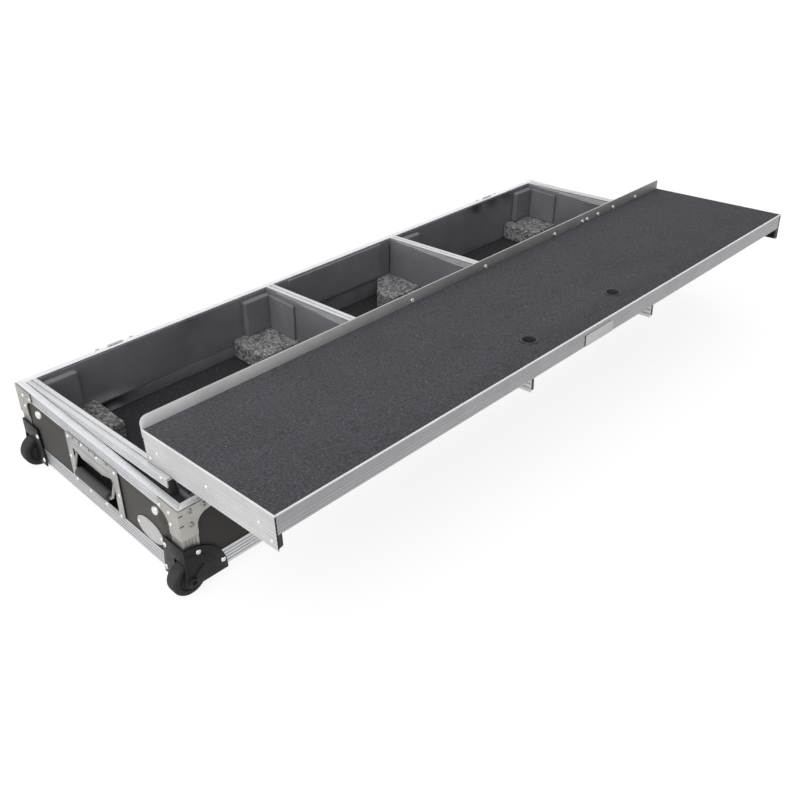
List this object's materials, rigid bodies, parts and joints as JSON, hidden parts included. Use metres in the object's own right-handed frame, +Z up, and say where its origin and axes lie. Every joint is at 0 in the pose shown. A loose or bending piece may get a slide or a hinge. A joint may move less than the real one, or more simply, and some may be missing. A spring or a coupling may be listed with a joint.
{
  "type": "dj coffin case",
  "caption": "Low touring case with two record player bays and a mixer bay, corner wheels, recessed handles, twist latches and a laptop shelf that slides on inclined rails.",
  "frame": {"origin": "middle of the mixer bay's floor, which is the middle of the case", "axes": "+X along the case from the wheeled end to the other end, +Y from the shelf's side to the side where the latches show, +Z up"},
  "size_m": [1.548, 0.7141, 0.2707],
  "materials": {
    "edging": "satin extruded",
    "rail": "bright satin",
    "corner_plate": "zinc plated",
    "dish_plate": "zinc plated",
    "plated_steel": "nickel plated",
    "laminate": "matt dark laminate",
    "plywood": "matt dark",
    "foam_lining": "matt foam",
    "black_steel": "semi-gloss black",
    "wheel_rubber": "matt",
    "foot_rubber": "matt",
    "grip_rubber": "matt",
    "shelf_carpet": "short-pile carpet"
  },
  "bodies": {
    "case": {"left_end_panel": "laminate", "right_end_panel": "laminate", "front_panel": "laminate", "back_panel": "laminate", "bottom_panel": "laminate", "left_support_wall": "plywood", "left_divider": "plywood", "right_divider": "plywood", "right_support_wall": "plywood", "front_rim": "edging", "right_rim": "edging", "back_rim": "edging", "left_rim": "edging", "front_bottom_angle": "edging", "right_bottom_angle": "edging", "back_bottom_angle": "edging", "left_bottom_angle": "edging", "front_left_corner_post": "corner_plate", "back_left_corner_post": "corner_plate", "front_right_corner_post": "corner_plate", "back_right_corner_post": "corner_plate", "left_rail": "rail", "left_divider_rail": "rail", "right_divider_rail": "rail", "right_rail": "rail", "front_wheel_bracket": "black_steel", "back_wheel_bracket": "black_steel", "front_foot": "foot_rubber", "back_foot": "foot_rubber", "left_handle_dish": "dish_plate", "right_handle_dish": "dish_plate", "left_bay_foam": "foam_lining", "mixer_bay_foam": "foam_lining", "right_bay_foam": "foam_lining", "front_left_latch_dish": "dish_plate", "front_right_latch_dish": "dish_plate", "back_left_latch_dish": "dish_plate", "back_right_latch_dish": "dish_plate"},
    "shelf": {"shelf_deck": "shelf_carpet", "shelf_left_side_plate": "edging", "shelf_right_side_plate": "edging", "shelf_left_runner_plate": "edging", "shelf_right_runner_plate": "edging", "shelf_front_edge": "edging", "shelf_back_lip": "edging"},
    "front_wheel": {"front_wheel": "wheel_rubber"},
    "back_wheel": {"back_wheel": "wheel_rubber"},
    "left_handle": {"left_handle_bail": "plated_steel", "left_handle_grip": "grip_rubber"},
    "right_handle": {"right_handle_bail": "plated_steel", "right_handle_grip": "grip_rubber"},
    "front_left_knob": {"front_left_latch_knob": "plated_steel"},
    "front_left_hook": {"front_left_latch_hook": "plated_steel"},
    "front_right_knob": {"front_right_latch_knob": "plated_steel"},
    "front_right_hook": {"front_right_latch_hook": "plated_steel"},
    "back_left_knob": {"back_left_latch_knob": "plated_steel"},
    "back_left_hook": {"back_left_latch_hook": "plated_steel"},
    "back_right_knob": {"back_right_latch_knob": "plated_steel"},
    "back_right_hook": {"back_right_latch_hook": "plated_steel"}
  },
  "joints": [
    {"name": "shelf_slide", "type": "slide", "parent": "case", "child": "shelf", "axis": [0, 0.9982, -0.0598], "range_m": [0, 0.375]},
    {"name": "front_wheel_spin", "type": "hinge", "parent": "case", "child": "front_wheel", "pos_m": [-0.7485, -0.2365, -0.01], "axis": [0, 1, 0], "continuous": true},
    {"name": "back_wheel_spin", "type": "hinge", "parent": "case", "child": "back_wheel", "pos_m": [-0.7485, 0.2365, -0.01], "axis": [0, 1, 0], "continuous": true},
    {"name": "left_bail_lift", "type": "hinge", "parent": "case", "child": "left_handle", "pos_m": [-0.7512, 0, 0.078], "axis": [0, 1, 0], "range_deg": [0, 90], "stiffness_Nm_per_rad": 0.4},
    {"name": "right_bail_lift", "type": "hinge", "parent": "case", "child": "right_handle", "pos_m": [0.7512, 0, 0.078], "axis": [0, -1, 0], "range_deg": [0, 90], "stiffness_Nm_per_rad": 0.4},
    {"name": "front_left_knob_turn", "type": "hinge", "parent": "case", "child": "front_left_knob", "pos_m": [-0.5565, -0.25, 0.054], "axis": [0, 1, 0], "range_deg": [0, 180]},
    {"name": "front_left_hook_draw", "type": "slide", "parent": "case", "child": "front_left_hook", "axis": [0, 0, 1], "range_m": [0, 0.0044]},
    {"name": "front_right_knob_turn", "type": "hinge", "parent": "case", "child": "front_right_knob", "pos_m": [0.5565, -0.25, 0.054], "axis": [0, 1, 0], "range_deg": [0, 180]},
    {"name": "front_right_hook_draw", "type": "slide", "parent": "case", "child": "front_right_hook", "axis": [0, 0, 1], "range_m": [0, 0.0044]},
    {"name": "back_left_knob_turn", "type": "hinge", "parent": "case", "child": "back_left_knob", "pos_m": [-0.5565, 0.25, 0.054], "axis": [0, 1, 0], "range_deg": [0, 180]},
    {"name": "back_left_hook_draw", "type": "slide", "parent": "case", "child": "back_left_hook", "axis": [0, 0, 1], "range_m": [0, 0.0044]},
    {"name": "back_right_knob_turn", "type": "hinge", "parent": "case", "child": "back_right_knob", "pos_m": [0.5565, 0.25, 0.054], "axis": [0, 1, 0], "range_deg": [0, 180]},
    {"name": "back_right_hook_draw", "type": "slide", "parent": "case", "child": "back_right_hook", "axis": [0, 0, 1], "range_m": [0, 0.0044]}
  ],
  "couplings": [
    {"joint": "front_left_knob_turn", "follows": "front_left_hook_draw", "rad_per_m": 713.99},
    {"joint": "front_right_knob_turn", "follows": "front_right_hook_draw", "rad_per_m": 713.99},
    {"joint": "back_left_knob_turn", "follows": "back_left_hook_draw", "rad_per_m": 713.99},
    {"joint": "back_right_knob_turn", "follows": "back_right_hook_draw", "rad_per_m": 713.99}
  ]
}
